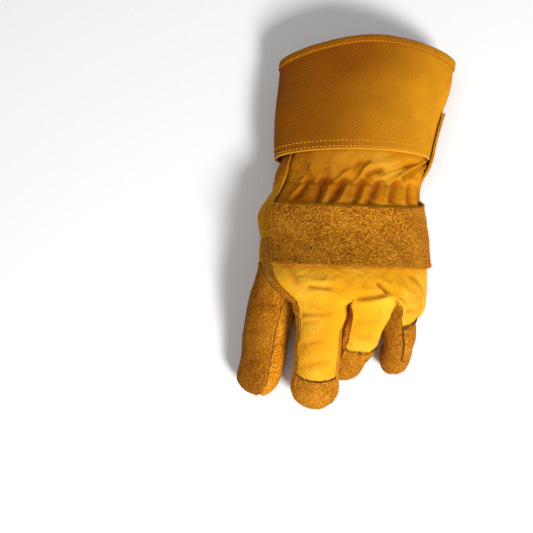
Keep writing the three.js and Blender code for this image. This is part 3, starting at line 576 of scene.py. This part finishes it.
# Back of the glove: pleats under the elastic, folds that fan out above it, and dents at the knuckles
backFolds = {
    "gathers": ((-40, 4), (46, 52)),   # two corners of the gathered part
    # for each kind of fold, how much steeper its right side is, and how sharp its crest
    "lean": {"pleatValleys": (0.2, 1.7), "pleatCrowns": (-0.2, 1.5), "ridges": (0.3, 1.25),
             "hollowsBetween": (0.0, 2), "dents": (0.0, 2)},
    # valley and crown of each pleat, from the elastic down to the strap: path, height, half width
    "pleatValleys": [
        (((-33.5, 27.0), (-39.0, 18.0), (-44.5, 10.0)), -1.5, 2.4),
        (((-19.0, 29.3), (-24.6, 23.0), (-25.8, 16.0), (-26.8, 6.0)), -2.2, 3.0),
        (((-5.5, 28.6), (-12.0, 18.5), (-19.3, 6.5)), -2.4, 3.0),
        (((7.4, 28.0), (2.6, 18.0), (-1.0, 6.5)), -2.4, 2.5),
        (((20.5, 28.6), (15.0, 20.0), (9.6, 7.0)), -2.4, 3.2),
        (((33.6, 29.4), (28.5, 20.0), (25.6, 8.5)), -2.3, 2.9),
        (((42.5, 30.5), (41.8, 20.0), (41.5, 10.5)), -1.9, 2.0),
        (((50.0, 30.0), (51.2, 20.0), (51.5, 11.5)), -1.4, 1.5),
    ],
    "pleatCrowns": [
        (((-38.0, 25.0), (-44.0, 16.0), (-50.0, 8.0)), 1.1, 1.9),
        (((-15.5, 24.0), (-19.1, 19.0), (-23.2, 7.0)), 1.8, 2.0),
        (((-3.5, 25.0), (-8.5, 15.0), (-12.9, 6.0)), 1.9, 2.0),
        (((9.5, 24.5), (7.2, 19.7), (2.8, 6.5)), 1.8, 1.9),
        (((24.5, 23.8), (22.8, 15.0), (21.5, 7.5)), 1.9, 1.9),
        (((37.0, 25.0), (37.0, 19.0), (37.4, 10.5)), 1.7, 1.6),
        (((46.8, 28.0), (47.2, 21.0), (47.2, 11.5)), 1.3, 1.4),
    ],
    # folds that fan out above the elastic: path, height, half width
    "ridges": [
        (((-47.5, 47.0), (-46.3, 35.0), (-41.0, 25.8)), 1.5, 1.3),
        (((-34.0, 38.8), (-31.2, 33.0), (-27.0, 24.0)), 1.4, 2.4),
        (((0.6, 34.6), (-8.7, 29.8), (-13.5, 22.8)), 2.6, 2.4),
        (((13.6, 39.9), (5.7, 33.5), (0.2, 22.6)), 3.2, 2.0),
        (((8.5, 35.6), (24.0, 39.3), (41.0, 43.2)), 1.8, 3.4),
        (((42.2, 39.7), (29.6, 33.5), (18.9, 29.0), (13.5, 23.2)), 3.0, 1.6),
        (((52.0, 48.0), (42.1, 37.9), (30.6, 30.2), (26.0, 23.8)), 3.5, 1.6),
        (((57.0, 48.5), (47.6, 36.5), (37.4, 25.2)), 3.2, 1.5),
        (((53.2, 40.6), (46.3, 28.8)), 1.6, 1.2),
    ],
    "hollowsBetween": [
        (((-32.5, 27.5), (-37.0, 36.0), (-40.5, 43.0)), -0.6, 3.0),
        (((-19.0, 28.5), (-20.5, 37.0)), -0.8, 2.6),
        (((-5.5, 28.4), (1.0, 36.0), (8.0, 42.5)), -1.2, 2.2),
        (((7.4, 27.6), (13.0, 33.0), (24.5, 35.6)), -2.2, 2.4),
        (((20.5, 28.3), (30.0, 33.4), (36.5, 37.0), (46.0, 44.5)), -2.0, 1.9),
        (((33.6, 29.2), (41.0, 34.5), (49.5, 43.0), (55.0, 48.5)), -2.6, 1.8),
        (((43.0, 30.0), (50.0, 38.0), (55.0, 44.5)), -1.7, 1.4),
    ],
    # the elastic, drawn in scallops that hang from the feet of the folds
    "scallops": [(-50.0, 27.0), (-44.5, 25.5), (-40.0, 24.2), (-34.0, 27.6), (-27.0, 22.6), (-19.5, 29.4),
                 (-13.5, 21.6), (-6.0, 28.8), (0.0, 21.4), (7.0, 28.4), (13.2, 21.8), (20.3, 28.8),
                 (26.0, 22.6), (33.0, 29.6), (37.4, 24.0), (42.6, 30.8), (46.3, 27.2), (50.0, 31.0)],
    # height, half width, lean and crest of the elastic, and of the foot of each fold that bulges over it
    "elastic": (-1.7, 1.3, 0.0, 1.6),
    "feet": (1.1, 1.8, 0.0, 2),
    "dents": [
        (((-37.5, -54.4), (-28.0, -55.2), (-17.0, -56.2)), -1.5, 1.7),
        (((-34.0, -51.6), (-20.0, -52.4)), 0.8, 2.6),
        (((11.8, -50.0), (20.5, -58.0)), -2.2, 1.7),
        (((16.8, -49.0), (23.0, -54.0)), 0.6, 2.0),
        (((-6.0, -66.4), (12.9, -64.3), (24.5, -60.0)), 1.6, 1.7),
        (((-5.0, -62.8), (8.6, -61.0), (21.0, -57.5)), -1.3, 1.8),
        (((-42.5, -71.9), (-28.5, -73.9), (-15.5, -72.4)), -0.9, 1.5),
        (((-41.0, -79.0), (-26.0, -77.4)), -0.6, 1.6),
        (((-41.0, -93.8), (-24.0, -89.6)), -0.8, 1.6),
        (((-43.0, -107.0), (-16.0, -104.0)), -0.8, 1.8),
        (((-6.0, -79.0), (14.0, -77.0)), -0.6, 1.7),
        (((-4.0, -88.5), (12.0, -87.0)), -0.6, 1.6),
        (((30.0, -70.0), (42.0, -67.0)), -0.7, 1.6),
        (((-50.0, -33.0), (-45.5, -44.0), (-41.0, -56.0)), -0.9, 2.4),
        (((36.0, -42.0), (46.0, -47.0), (50.0, -56.0)), -0.9, 2.2),
        (((28.0, -50.0), (36.0, -58.0)), 0.7, 2.2),
    ],
}


def rounded(path, times=2):
    # the path with its corners cut off, so that no fold has a kink
    path = np.array(path)
    for _ in range(times):
        near = 0.75 * path[:-1] + 0.25 * path[1:]
        far = 0.25 * path[:-1] + 0.75 * path[1:]
        path = np.vstack([path[:1], np.stack([near, far], axis=1).reshape(-1, 2), path[-1:]])
    return path


def backPaths():
    folds = [(*fold, *lean) for kind, lean in backFolds["lean"].items() for fold in backFolds[kind]]
    for x, y in backFolds["scallops"][2::2]:
        foot = ((x - 1.5, y + 4.5), (x, y + 2.2), (x + 1.5, y + 1.0))
        folds.append((foot, *backFolds["feet"]))
    folds.append((backFolds["scallops"], *backFolds["elastic"]))
    return [(rounded(path), *rest) for path, *rest in folds]


# Painted shade: how much darker each panel is painted where less light reaches it, from 0 to 1, at points
# whose x and y are in mm
def backShade(x, y):
    gathers = smoothStep(-6, 16, y) * (0.94 - 0.44 * smoothStep(-45, 45, x))   # most at the thumb side
    pleats = (0.30 * smoothStep(-2, 8, y) - 0.15 * smoothStep(0, 12, y)) * smoothStep(30, 22, y)
    fingerBacks = 0.20 * smoothStep(-60, -84, y)
    ringRoot = 0.12 * smoothStep(16, 30, x) * smoothStep(-55, -68, y)
    thumbSide = 0.10 * smoothStep(-12, -40, x) * smoothStep(-6, -30, y)
    return gathers + pleats + fingerBacks + ringRoot + thumbSide


def gussetShade(x, y):
    return 0.65 + 0.35 * smoothStep(22, 32, y)


def cuffShade(x, y):
    tone = 0.92 * smoothStep(72, -22, x + 0.25 * (90 - y))
    return tone + 0.25 * smoothStep(90, 125, y) * smoothStep(70, 30, x)


def tapeShade(x, y):
    return 0.9 * smoothStep(105, 20, x)


def strapShade(x, y):
    return 0.10 + 0.34 * smoothStep(10, -50, x)


def thumbShade(x, y):
    # painted shade on the side that is turned away from the hand
    return 0.75 * smoothStep(-50, -76, x + 0.06 * (y + 80))


# painted shade, evenly over the front of the ring finger
def ringShade(x, y):
    return np.full(len(x), 0.3)


back = softPanel("back_panel", "cotton", backPaths(), lumps=0.32, grain=0.05, sharpAngle=45,
                 gathers=backFolds["gathers"], seamDepth=0.5, shadeOf=backShade)
print("back panel made")

gusset = softPanel("side_gusset", "cotton", lumps=0.8, lumpSize=7, grain=0.06, shadeOf=gussetShade)
cuff = softPanel("cuff", "canvas", lumps=0.45, lumpSize=26, grain=0.0, seamDepth=0.1, meet=0,
                 shadeOf=cuffShade)
binding = softPanel("cuff_binding", "tape", lumps=0.12, lumpSize=5, grain=0.04, seamDepth=0.1, levels=2,
                    meet=0, shadeOf=tapeShade)
strap = softPanel("knuckle_strap", "strapSuede", lumps=0.55, lumpSize=8, grain=0.28, seamDepth=0.3,
                  meet=0, shadeOf=strapShade)
palm = softPanel("palm", "suede", lumps=0.7, lumpSize=11, grain=0.16, levels=2)
patch = softPanel("palm_patch", "patchSuede", lumps=0.35, lumpSize=9, grain=0.08, seamDepth=0.3, meet=0)
print("hand panels made")

thumbFolds = [
    (((-76.0, -62.0), (-55.0, -66.0)), -0.8, 2.4, 0.0, 2),
    (((-78.0, -80.0), (-60.0, -84.0)), -0.7, 2.2, 0.0, 2),
    (((-80.0, -104.0), (-66.0, -102.0)), -0.6, 2.0, 0.0, 2),
]
fingers = ("index", "middle", "ring", "little")
leatherPieces = [
    # the thumb's outer half in the darker leather with painted shade, its inner half in the painted lit copy
    softPanel("thumb_front", "suede", thumbFolds, lumps=0.5, lumpSize=8, grain=0.2, seamDepth=0.5, lip=1.0,
              shadeOf=thumbShade),
    softPanel("thumb_back", "suedePaintedLit", thumbFolds, lumps=0.5, lumpSize=8, grain=0.2, seamDepth=1.4),
]
for finger in fingers:
    # the ring finger's front takes the darker leather with painted shade, the other fronts the painted lit
    # copy
    finish = "suede" if finger == "ring" else "suedePaintedLit"
    darker = ringShade if finger == "ring" else None
    leatherPieces += [
        softPanel(f"{finger}_front", finish, lumps=0.45, lumpSize=7, grain=0.2, shadeOf=darker),
        softPanel(f"{finger}_cap", "suede", lumps=0.45, lumpSize=7, grain=0.2),
    ]
print("finger and thumb leather made")


# Paths along seams and edges
def ordered(points, step=1.2):
    # points strewn along a line, in order, evened out into one smooth path
    middle = points.mean(axis=0)
    axes = np.linalg.svd(points - middle, full_matrices=False)[2]
    along, tall = (points - middle) @ axes[0], (points - middle) @ axes[1]
    if tall[np.abs(along) < 0.25 * np.ptp(along)].mean() < 0:
        tall = -tall
    tall = tall - tall.min() + max(0.35 * np.ptp(along), 0.5 * np.ptp(tall))
    order = np.argsort(np.arctan2(tall, along))   # by their angle, seen from below the arch that they make
    count = max(min(int(1.3 * np.ptp(along) / (step * mm)), len(points) // 2), 6)
    path = np.array([points[group].mean(axis=0) for group in np.array_split(order, count)])
    for _ in range(3):
        path[1:-1] = 0.25 * path[:-2] + 0.5 * path[1:-1] + 0.25 * path[2:]
    return path


def roundPath(points, count, plane, best=None):
    # points strewn round a ring, in order by their angle about its middle, as a smooth closed path; plane is
    # the two axes that the ring lies along, and best picks one point of each group where the mean won't do
    middle = (points.max(axis=0) + points.min(axis=0)) / 2
    across, up = ((points - middle) / np.ptp(points, axis=0))[:, plane].T
    place = ((np.arctan2(up, across) / math.tau + 0.5) * count).astype(int) % count
    groups = [points[place == i] for i in range(count) if np.any(place == i)]
    path = np.array([group[np.argmin(best(group))] if best else group.mean(axis=0) for group in groups])
    for _ in range(3):
        path = 0.25 * np.roll(path, 1, axis=0) + 0.5 * path + 0.25 * np.roll(path, -1, axis=0)
    return np.vstack([path, path[:1]])


def evenly(path, step):
    # the same path in even steps
    lengths = np.concatenate([[0], np.cumsum(np.linalg.norm(np.diff(path, axis=0), axis=1))])
    places = np.linspace(0, lengths[-1], max(int(lengths[-1] / (step * mm)), 2) + 1)
    return np.column_stack([np.interp(places, lengths, path[:, i]) for i in range(3)])


def rimOf(node, reach=0.3):
    # the outer points of a panel that lie within reach of its rim, in mm
    data = softData[node]
    return data["points"][(data["seam"] < reach) & (data["outer"] > 0.3)]


def seamBetween(first, second, width=1.7, above=None):
    # the line where the rims of two panels meet, as a path on the outside; above is its lowest z in mm
    middles = []
    for one, other in ((first, second), (second, first)):
        tree = surfaceOf(other)
        for point in rimOf(one):
            near, _, _, distance = tree.find_nearest(Vector(point))
            if distance < width * mm and (above is None or near.z > above * mm):
                middles.append((point + np.array(near)) / 2)
    return ordered(np.array(middles))


def cordPiece(name, path, node, finish, radius, wobble, proud):
    # a round cord along a path on a panel; radius, wobble and how far it stands out are in mm
    points = evenly(path, 0.9)
    tree = surfaceOf(node)
    for i, point in enumerate(points.tolist()):
        place = Vector(point)
        outward = tree.find_nearest(place)[1]
        points[i] = place + outward * proud * mm + wobble * mm * noise.noise_vector(place / (2.2 * mm))
    curve = bpy.data.curves.new(name, "CURVE")
    curve.dimensions = "3D"
    curve.bevel_depth = radius * mm
    curve.bevel_resolution = 2
    curve.use_fill_caps = True
    spline = curve.splines.new("POLY")
    spline.points.add(len(points) - 1)
    spline.points.foreach_set("co", np.column_stack([points, np.ones(len(points))]).ravel())
    guide = bpy.data.objects.new(name + "_guide", curve)
    bpy.context.scene.collection.objects.link(guide)
    graph = bpy.context.evaluated_depsgraph_get()
    mesh = bpy.data.meshes.new_from_object(guide.evaluated_get(graph))
    bpy.data.objects.remove(guide)
    mesh.materials.clear()
    mesh.materials.append(finishes[finish])
    mesh.shade_smooth()
    piece = bpy.data.objects.new(name, mesh)
    bpy.context.scene.collection.objects.link(piece)
    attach(piece, "root")


surfaces = {}   # a search tree of each panel's surface


def surfaceOf(node):
    if node not in surfaces:
        piece = softData[node]["piece"]
        surfaces[node] = BVHTree.FromObject(piece, bpy.context.evaluated_depsgraph_get())
    return surfaces[node]


def scattered(name, base, places, axes, finish):
    # one small shape made by an operator, repeated at many places; axes are its three sides there
    part = bpy.data.meshes.new(name + "_part")
    base.to_mesh(part)
    base.free()
    whole = bmesh.new()
    for place, sides in zip(places, axes):
        copy = part.copy()
        copy.transform(Matrix.Translation(Vector(place)) @ Matrix(sides.tolist()).transposed().to_4x4())
        whole.from_mesh(copy)
        bpy.data.meshes.remove(copy)
    bpy.data.meshes.remove(part)
    piece = meshObject(name, whole, finish)
    piece.data.shade_smooth()
    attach(piece, "root")
    return piece


def pressed(node, paths, depth, reach=1.0):
    # a furrow that rows of stitches draw into a panel, sizes in mm
    data = softData[node]
    rows = treeOf(np.vstack([evenly(path, 0.4) for path in paths]))
    distance = distanceTo(rows, data["points"]) / (reach * mm)
    data["points"] -= data["normals"] * (depth * mm * np.exp(-distance ** 2) * data["outer"])[:, None]
    data["piece"].data.vertices.foreach_set("co", data["points"].ravel())
    data["piece"].data.update()
    surfaces.pop(node, None)


def stitches(name, node, paths, finish, length, gap, thick, lift=0.1, furrow=0.35):
    # short stitches that lie on a panel along each path, all sizes in mm
    if furrow:
        pressed(node, paths, furrow)
    tree = surfaceOf(node)
    places, axes = [], []
    for path in paths:
        spots = evenly(path, length + gap)
        for start, end in zip(spots[:-1], spots[1:]):
            middle, normal, _, _ = tree.find_nearest(Vector((start + end) / 2))
            along = Vector(end - start)
            along = (along - normal * along.dot(normal)).normalized()
            side = normal.cross(along)
            place = middle + normal * lift * mm
            place.z = max(place.z, (thick / 2 + 0.02) * mm)
            places.append(place)
            axes.append([along * length * mm, side * thick * mm, normal * thick * mm])
    bm = bmesh.new()
    bmesh.ops.create_uvsphere(bm, u_segments=8, v_segments=5, radius=0.5)
    scattered(name, bm, np.array(places), np.array(axes), finish)


def darkened(path, nodes, reach, strength):
    # paints the panels dark along a seam, uneven as sewn edges are: painted shade of the seam's groove, with
    # the dark of the joint at the caps; reach in mm
    spots = evenly(path, 0.4)
    tree = treeOf(spots)
    lo, hi = spots.min(axis=0) - 4 * mm, spots.max(axis=0) + 4 * mm
    for node in nodes:
        points = softData[node]["points"]
        near = np.flatnonzero(np.all((points > lo) & (points < hi), axis=1))
        distance = distanceTo(tree, points[near]) / mm
        uneven = reach * (1 + 0.8 * noiseOf(points[near], 2.4 * mm, 9.0))
        layer = softData[node]["piece"].data.attributes["seamDarkAndShade"].data
        for i, value in zip(near.tolist(), strength * smoothStep(1.35, 0.65, distance / uneven)):
            layer[i].value = max(layer[i].value, value)


# Seams: a thick dark cord where the caps join the cotton, standing for their thread and the shade of their
# groove, a thin one at the gusset, and painted shade along the welts
seams = {
    "cap": {"radius": 0.8, "wobble": 0.5, "proud": 0.5},
    "gusset": {"radius": 0.4, "wobble": 0.25, "proud": 0.3},
    "strapEnd": {"radius": 0.45, "wobble": 0.3, "proud": 0.25},
    "capStain": (1.35, 0.9),   # mm that the dark colour reaches on each side, and its strength
    "weltShade": (1.0, 0.9),
    "welts": (("thumb_back", "thumb_front", 24), ("ring_front", "ring_cap", 20)),   # with their lowest z
}
for finger in fingers:
    path = seamBetween("back_panel", f"{finger}_cap")
    # a dark cord for the seam's thread and the painted shade of its groove
    cordPiece(f"{finger}_cap_seam", path, f"{finger}_cap", "darkThreadAndShade", **seams["cap"])
    darkened(path, ("back_panel", f"{finger}_cap"), *seams["capStain"])
for first, second, above in seams["welts"]:
    darkened(seamBetween(first, second, above=above), (first, second), *seams["weltShade"])
path = seamBetween("back_panel", "side_gusset")
cordPiece("gusset_seam", path, "side_gusset", "darkThreadAndShade", **seams["gusset"])
print("seams made")

# Rows of stitches: distance in mm from the edge that each row follows, and the size of its stitches
rows = {
    "hem": ((2.4, 6.6), {"length": 2.2, "gap": 0.8, "thick": 0.75}),
    "binding": ((1.2,), {"length": 1.9, "gap": 0.9, "thick": 0.55}),
    "patch": ((2.2, 4.6), {"length": 2.4, "gap": 1.0, "thick": 0.6, "furrow": 0.65}),
    "tab": ((2.6,), {"length": 2.4, "gap": 1.0, "thick": 0.6}),
    "tabMiddle": (14, 52, 4),   # what the tab's row is moved towards
}


def sewnRows(kind, node, path, inward):
    # the rows of one kind, each moved inward from the path of the edge
    insets, sizes = rows[kind]
    stitches(f"{kind}_stitches", node, [path + inward * inset * mm for inset in insets], "thread", **sizes)


hemRim = rimOf("cuff")
hemPath = roundPath(hemRim[hemRim[:, 1] < 60 * mm], 150, (0, 2))
sewnRows("hem", "cuff", hemPath, np.array([0, 1, 0]))

tape = softData["cuff_binding"]["points"]
tapeMiddle = (tape.max(axis=0) + tape.min(axis=0)) / 2


def lowOutside(group):
    # least at the tape's lower edge, on its outer side
    return group[:, 1] - 0.7 * np.linalg.norm((group - tapeMiddle)[:, [0, 2]], axis=1)


sewnRows("binding", "cuff_binding", roundPath(tape, 150, (0, 2), lowOutside), np.array([0, 1, 0]))

patchPath = roundPath(rimOf("palm_patch"), 120, (0, 1), lambda group: group[:, 2])
along = np.roll(patchPath, -1, axis=0) - np.roll(patchPath, 1, axis=0)
inward = np.column_stack([-along[:, 1], along[:, 0], np.zeros(len(along))])
inward /= np.maximum(np.linalg.norm(inward, axis=1), 1e-9)[:, None]
inward *= np.sign(np.sum(inward * (patchPath.mean(axis=0) - patchPath)))
sewnRows("patch", "palm_patch", patchPath, inward)

tabRim = rimOf("palm")
tabPath = ordered(tabRim[(tabRim[:, 1] > 50 * mm) & (tabRim[:, 2] < 30 * mm)])
inward = np.array(rows["tabMiddle"]) * mm - tabPath
sewnRows("tab", "palm", tabPath, inward / np.linalg.norm(inward, axis=1)[:, None])

# Undyed threads where the strap is sewn in at the thumb side, and a few rubbed marks on the strap
small = {
    "strapEnd": ((-56.5, 9.0, 44.0), (-59.5, -2.0, 44.0), (-61.5, -13.0, 43.0)),
    "strapEndThreads": ((-62.0, -15.0, 44.0), (-62.6, -25.0, 48.0), (-62.5, -34.0, 52.5),
                        (-61.4, -42.0, 57.5), (-59.4, -49.0, 61.0)),
    "rubs": [((-14.3, -14.7, 58.0), (-11.6, -11.1, 57.0), (-8.7, -7.6, 55.0)),
             ((-15.4, -29.4, 65.0), (-14.2, -31.7, 66.0), (-14.1, -35.6, 68.5))],
    "secondThread": (0.9, 0.4, 0),   # how far it lies from the first
    "threadSizes": {"length": 2.0, "gap": 0.5, "thick": 0.5, "lift": 0.2, "furrow": 0},
    "rubSizes": {"length": 1.5, "gap": 0.05, "thick": 0.5, "lift": 0.15, "furrow": 0},
}
path = np.array(small["strapEnd"]) * mm
cordPiece("strap_end_seam", path, "back_panel", "darkThreadAndShade", **seams["strapEnd"])
path = np.array(small["strapEndThreads"]) * mm
stitches("strap_end_threads", "palm", [path, path + np.array(small["secondThread"]) * mm], "greyThread",
         **small["threadSizes"])
stitches("rubbed_marks", "knuckle_strap", [np.array(path) * mm for path in small["rubs"]], "fibres",
         **small["rubSizes"])
print("stitches made")

# Loose fibres of the suede, which its raw edges have more of
fuzz = {
    "strap": {"density": 90, "seed": 11, "length": 1.5, "thick": 0.06, "edges": 12.0},
    "fingers": {"density": 45, "seed": 12},
    "thumb": {"density": 40, "seed": 13},
    "palm": {"density": 14, "seed": 14},
    "lengths": (0.5, 1.3),    # shortest and longest, as shares of the length
    "upright": (0.15, 0.9),   # how steeply they stand, where 1 is straight out
    "edgeReach": 0.9,         # mm
    "floorGap": 0.1,
}


def fibres(name, nodes, density, seed, length=1.25, thick=0.055, edges=7.0):
    # density is their number per cm2, and edges how many times more there are along raw edges
    dice = np.random.default_rng(seed)
    places, axes = [], []
    for node in nodes:
        data = softData[node]
        mesh = data["piece"].data
        mesh.calc_loop_triangles()
        corners = np.empty(len(mesh.loop_triangles) * 3, dtype=np.int32)
        mesh.loop_triangles.foreach_get("vertices", corners)
        corners = corners.reshape(-1, 3)
        a, b, c = (data["points"][corners[:, i]] for i in range(3))
        area = np.linalg.norm(np.cross(b - a, c - a), axis=1) / 2
        outer = data["outer"][corners].mean(axis=1)
        edge = np.exp(-data["seam"][corners].mean(axis=1) / fuzz["edgeReach"])
        weight = area * outer * (1 + edges * edge)
        count = int(density * weight.sum() * 1e4)
        picked = dice.choice(len(corners), count, p=weight / weight.sum())
        u, v = dice.random((2, count))
        flip = u + v > 1
        u, v = np.where(flip, 1 - u, u)[:, None], np.where(flip, 1 - v, v)[:, None]
        spot = a[picked] + u * (b - a)[picked] + v * (c - a)[picked]
        normal = data["normals"][corners[picked, 0]]
        lean = dice.normal(size=(count, 3))
        lean -= normal * np.sum(lean * normal, axis=1)[:, None]
        lean /= np.linalg.norm(lean, axis=1)[:, None]
        upright = dice.uniform(*fuzz["upright"], (count, 1))
        along = normal * upright + lean * np.sqrt(1 - upright ** 2)
        side = np.cross(along, normal + 0.01)
        side /= np.linalg.norm(side, axis=1)[:, None]
        size = length * dice.uniform(*fuzz["lengths"], (count, 1)) * mm
        spot = spot + along * size * 0.4
        low = spot[:, 2] - np.abs(along[:, 2]) * size[:, 0] * 0.6
        above = low > fuzz["floorGap"] * mm
        places.append(spot[above])
        sides = [side * thick * mm, np.cross(along, side) * thick * mm, along * size]
        axes.append(np.stack(sides, axis=1)[above])
    bm = bmesh.new()
    bmesh.ops.create_cone(bm, cap_ends=True, segments=3, radius1=1, radius2=0.15, depth=1)
    return scattered(name, bm, np.vstack(places), np.concatenate(axes), "fibres")


fingerPanels = [f"{finger}_{side}" for finger in fingers for side in ("front", "cap")]
fibrePieces = [
    fibres("strap_fibres", ["knuckle_strap"], **fuzz["strap"]),
    fibres("finger_fibres", fingerPanels, **fuzz["fingers"]),
    fibres("thumb_fibres", ["thumb_back", "thumb_front"], **fuzz["thumb"]),
    fibres("palm_fibres", ["palm", "palm_patch"], **fuzz["palm"]),
]
print("fibres made")

# Camera, floor and light
view = {
    "position": (-62.68, -132.94, 591.49),   # in mm
    "elevation": 80.0,
    "lens": 53.27,
}
cameraData = bpy.data.cameras.new("camera")
cameraData.lens = view["lens"]
cameraData.sensor_width = 36
cameraData.clip_start = 0.01
camera = bpy.data.objects.new("camera", cameraData)
camera.location = Vector(view["position"]) * mm
camera.rotation_euler = (math.radians(90 - view["elevation"]), 0, 0)
bpy.context.scene.collection.objects.link(camera)
bpy.context.scene.camera = camera

bm = bmesh.new()
bmesh.ops.create_grid(bm, x_segments=1, y_segments=1, size=3)
meshObject("floor", bm, "floor")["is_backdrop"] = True

studio = {
    "lights": {   # position in m, size in m, power in W
        "key": ((0.58, -1.05, 1.04), 0.40, 35.0),
        "fill": ((-0.40, 0.10, 1.30), 0.9, 5.0),
    },
    "world": (1.0, 0.98, 0.95),
    "worldStrength": 0.24,
}
for name, (position, size, power) in studio["lights"].items():
    lamp = bpy.data.lights.new(name, "AREA")
    lamp.size = size
    lamp.energy = power
    light = bpy.data.objects.new(name, lamp)
    light.location = position
    light.rotation_euler = (-Vector(position)).to_track_quat("-Z", "Y").to_euler()
    bpy.context.scene.collection.objects.link(light)
world = bpy.data.worlds.new("studio")
world.use_nodes = True
background = world.node_tree.nodes["Background"]
background.inputs["Color"].default_value = (*studio["world"], 1)
background.inputs["Strength"].default_value = studio["worldStrength"]
bpy.context.scene.world = world
bpy.context.scene.view_settings.view_transform = "Standard"
print("camera, floor and light made")

lo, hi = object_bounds()
size = {"cad": [list(corner) for corner in cadBox], "visual": [list(lo), list(hi)]}
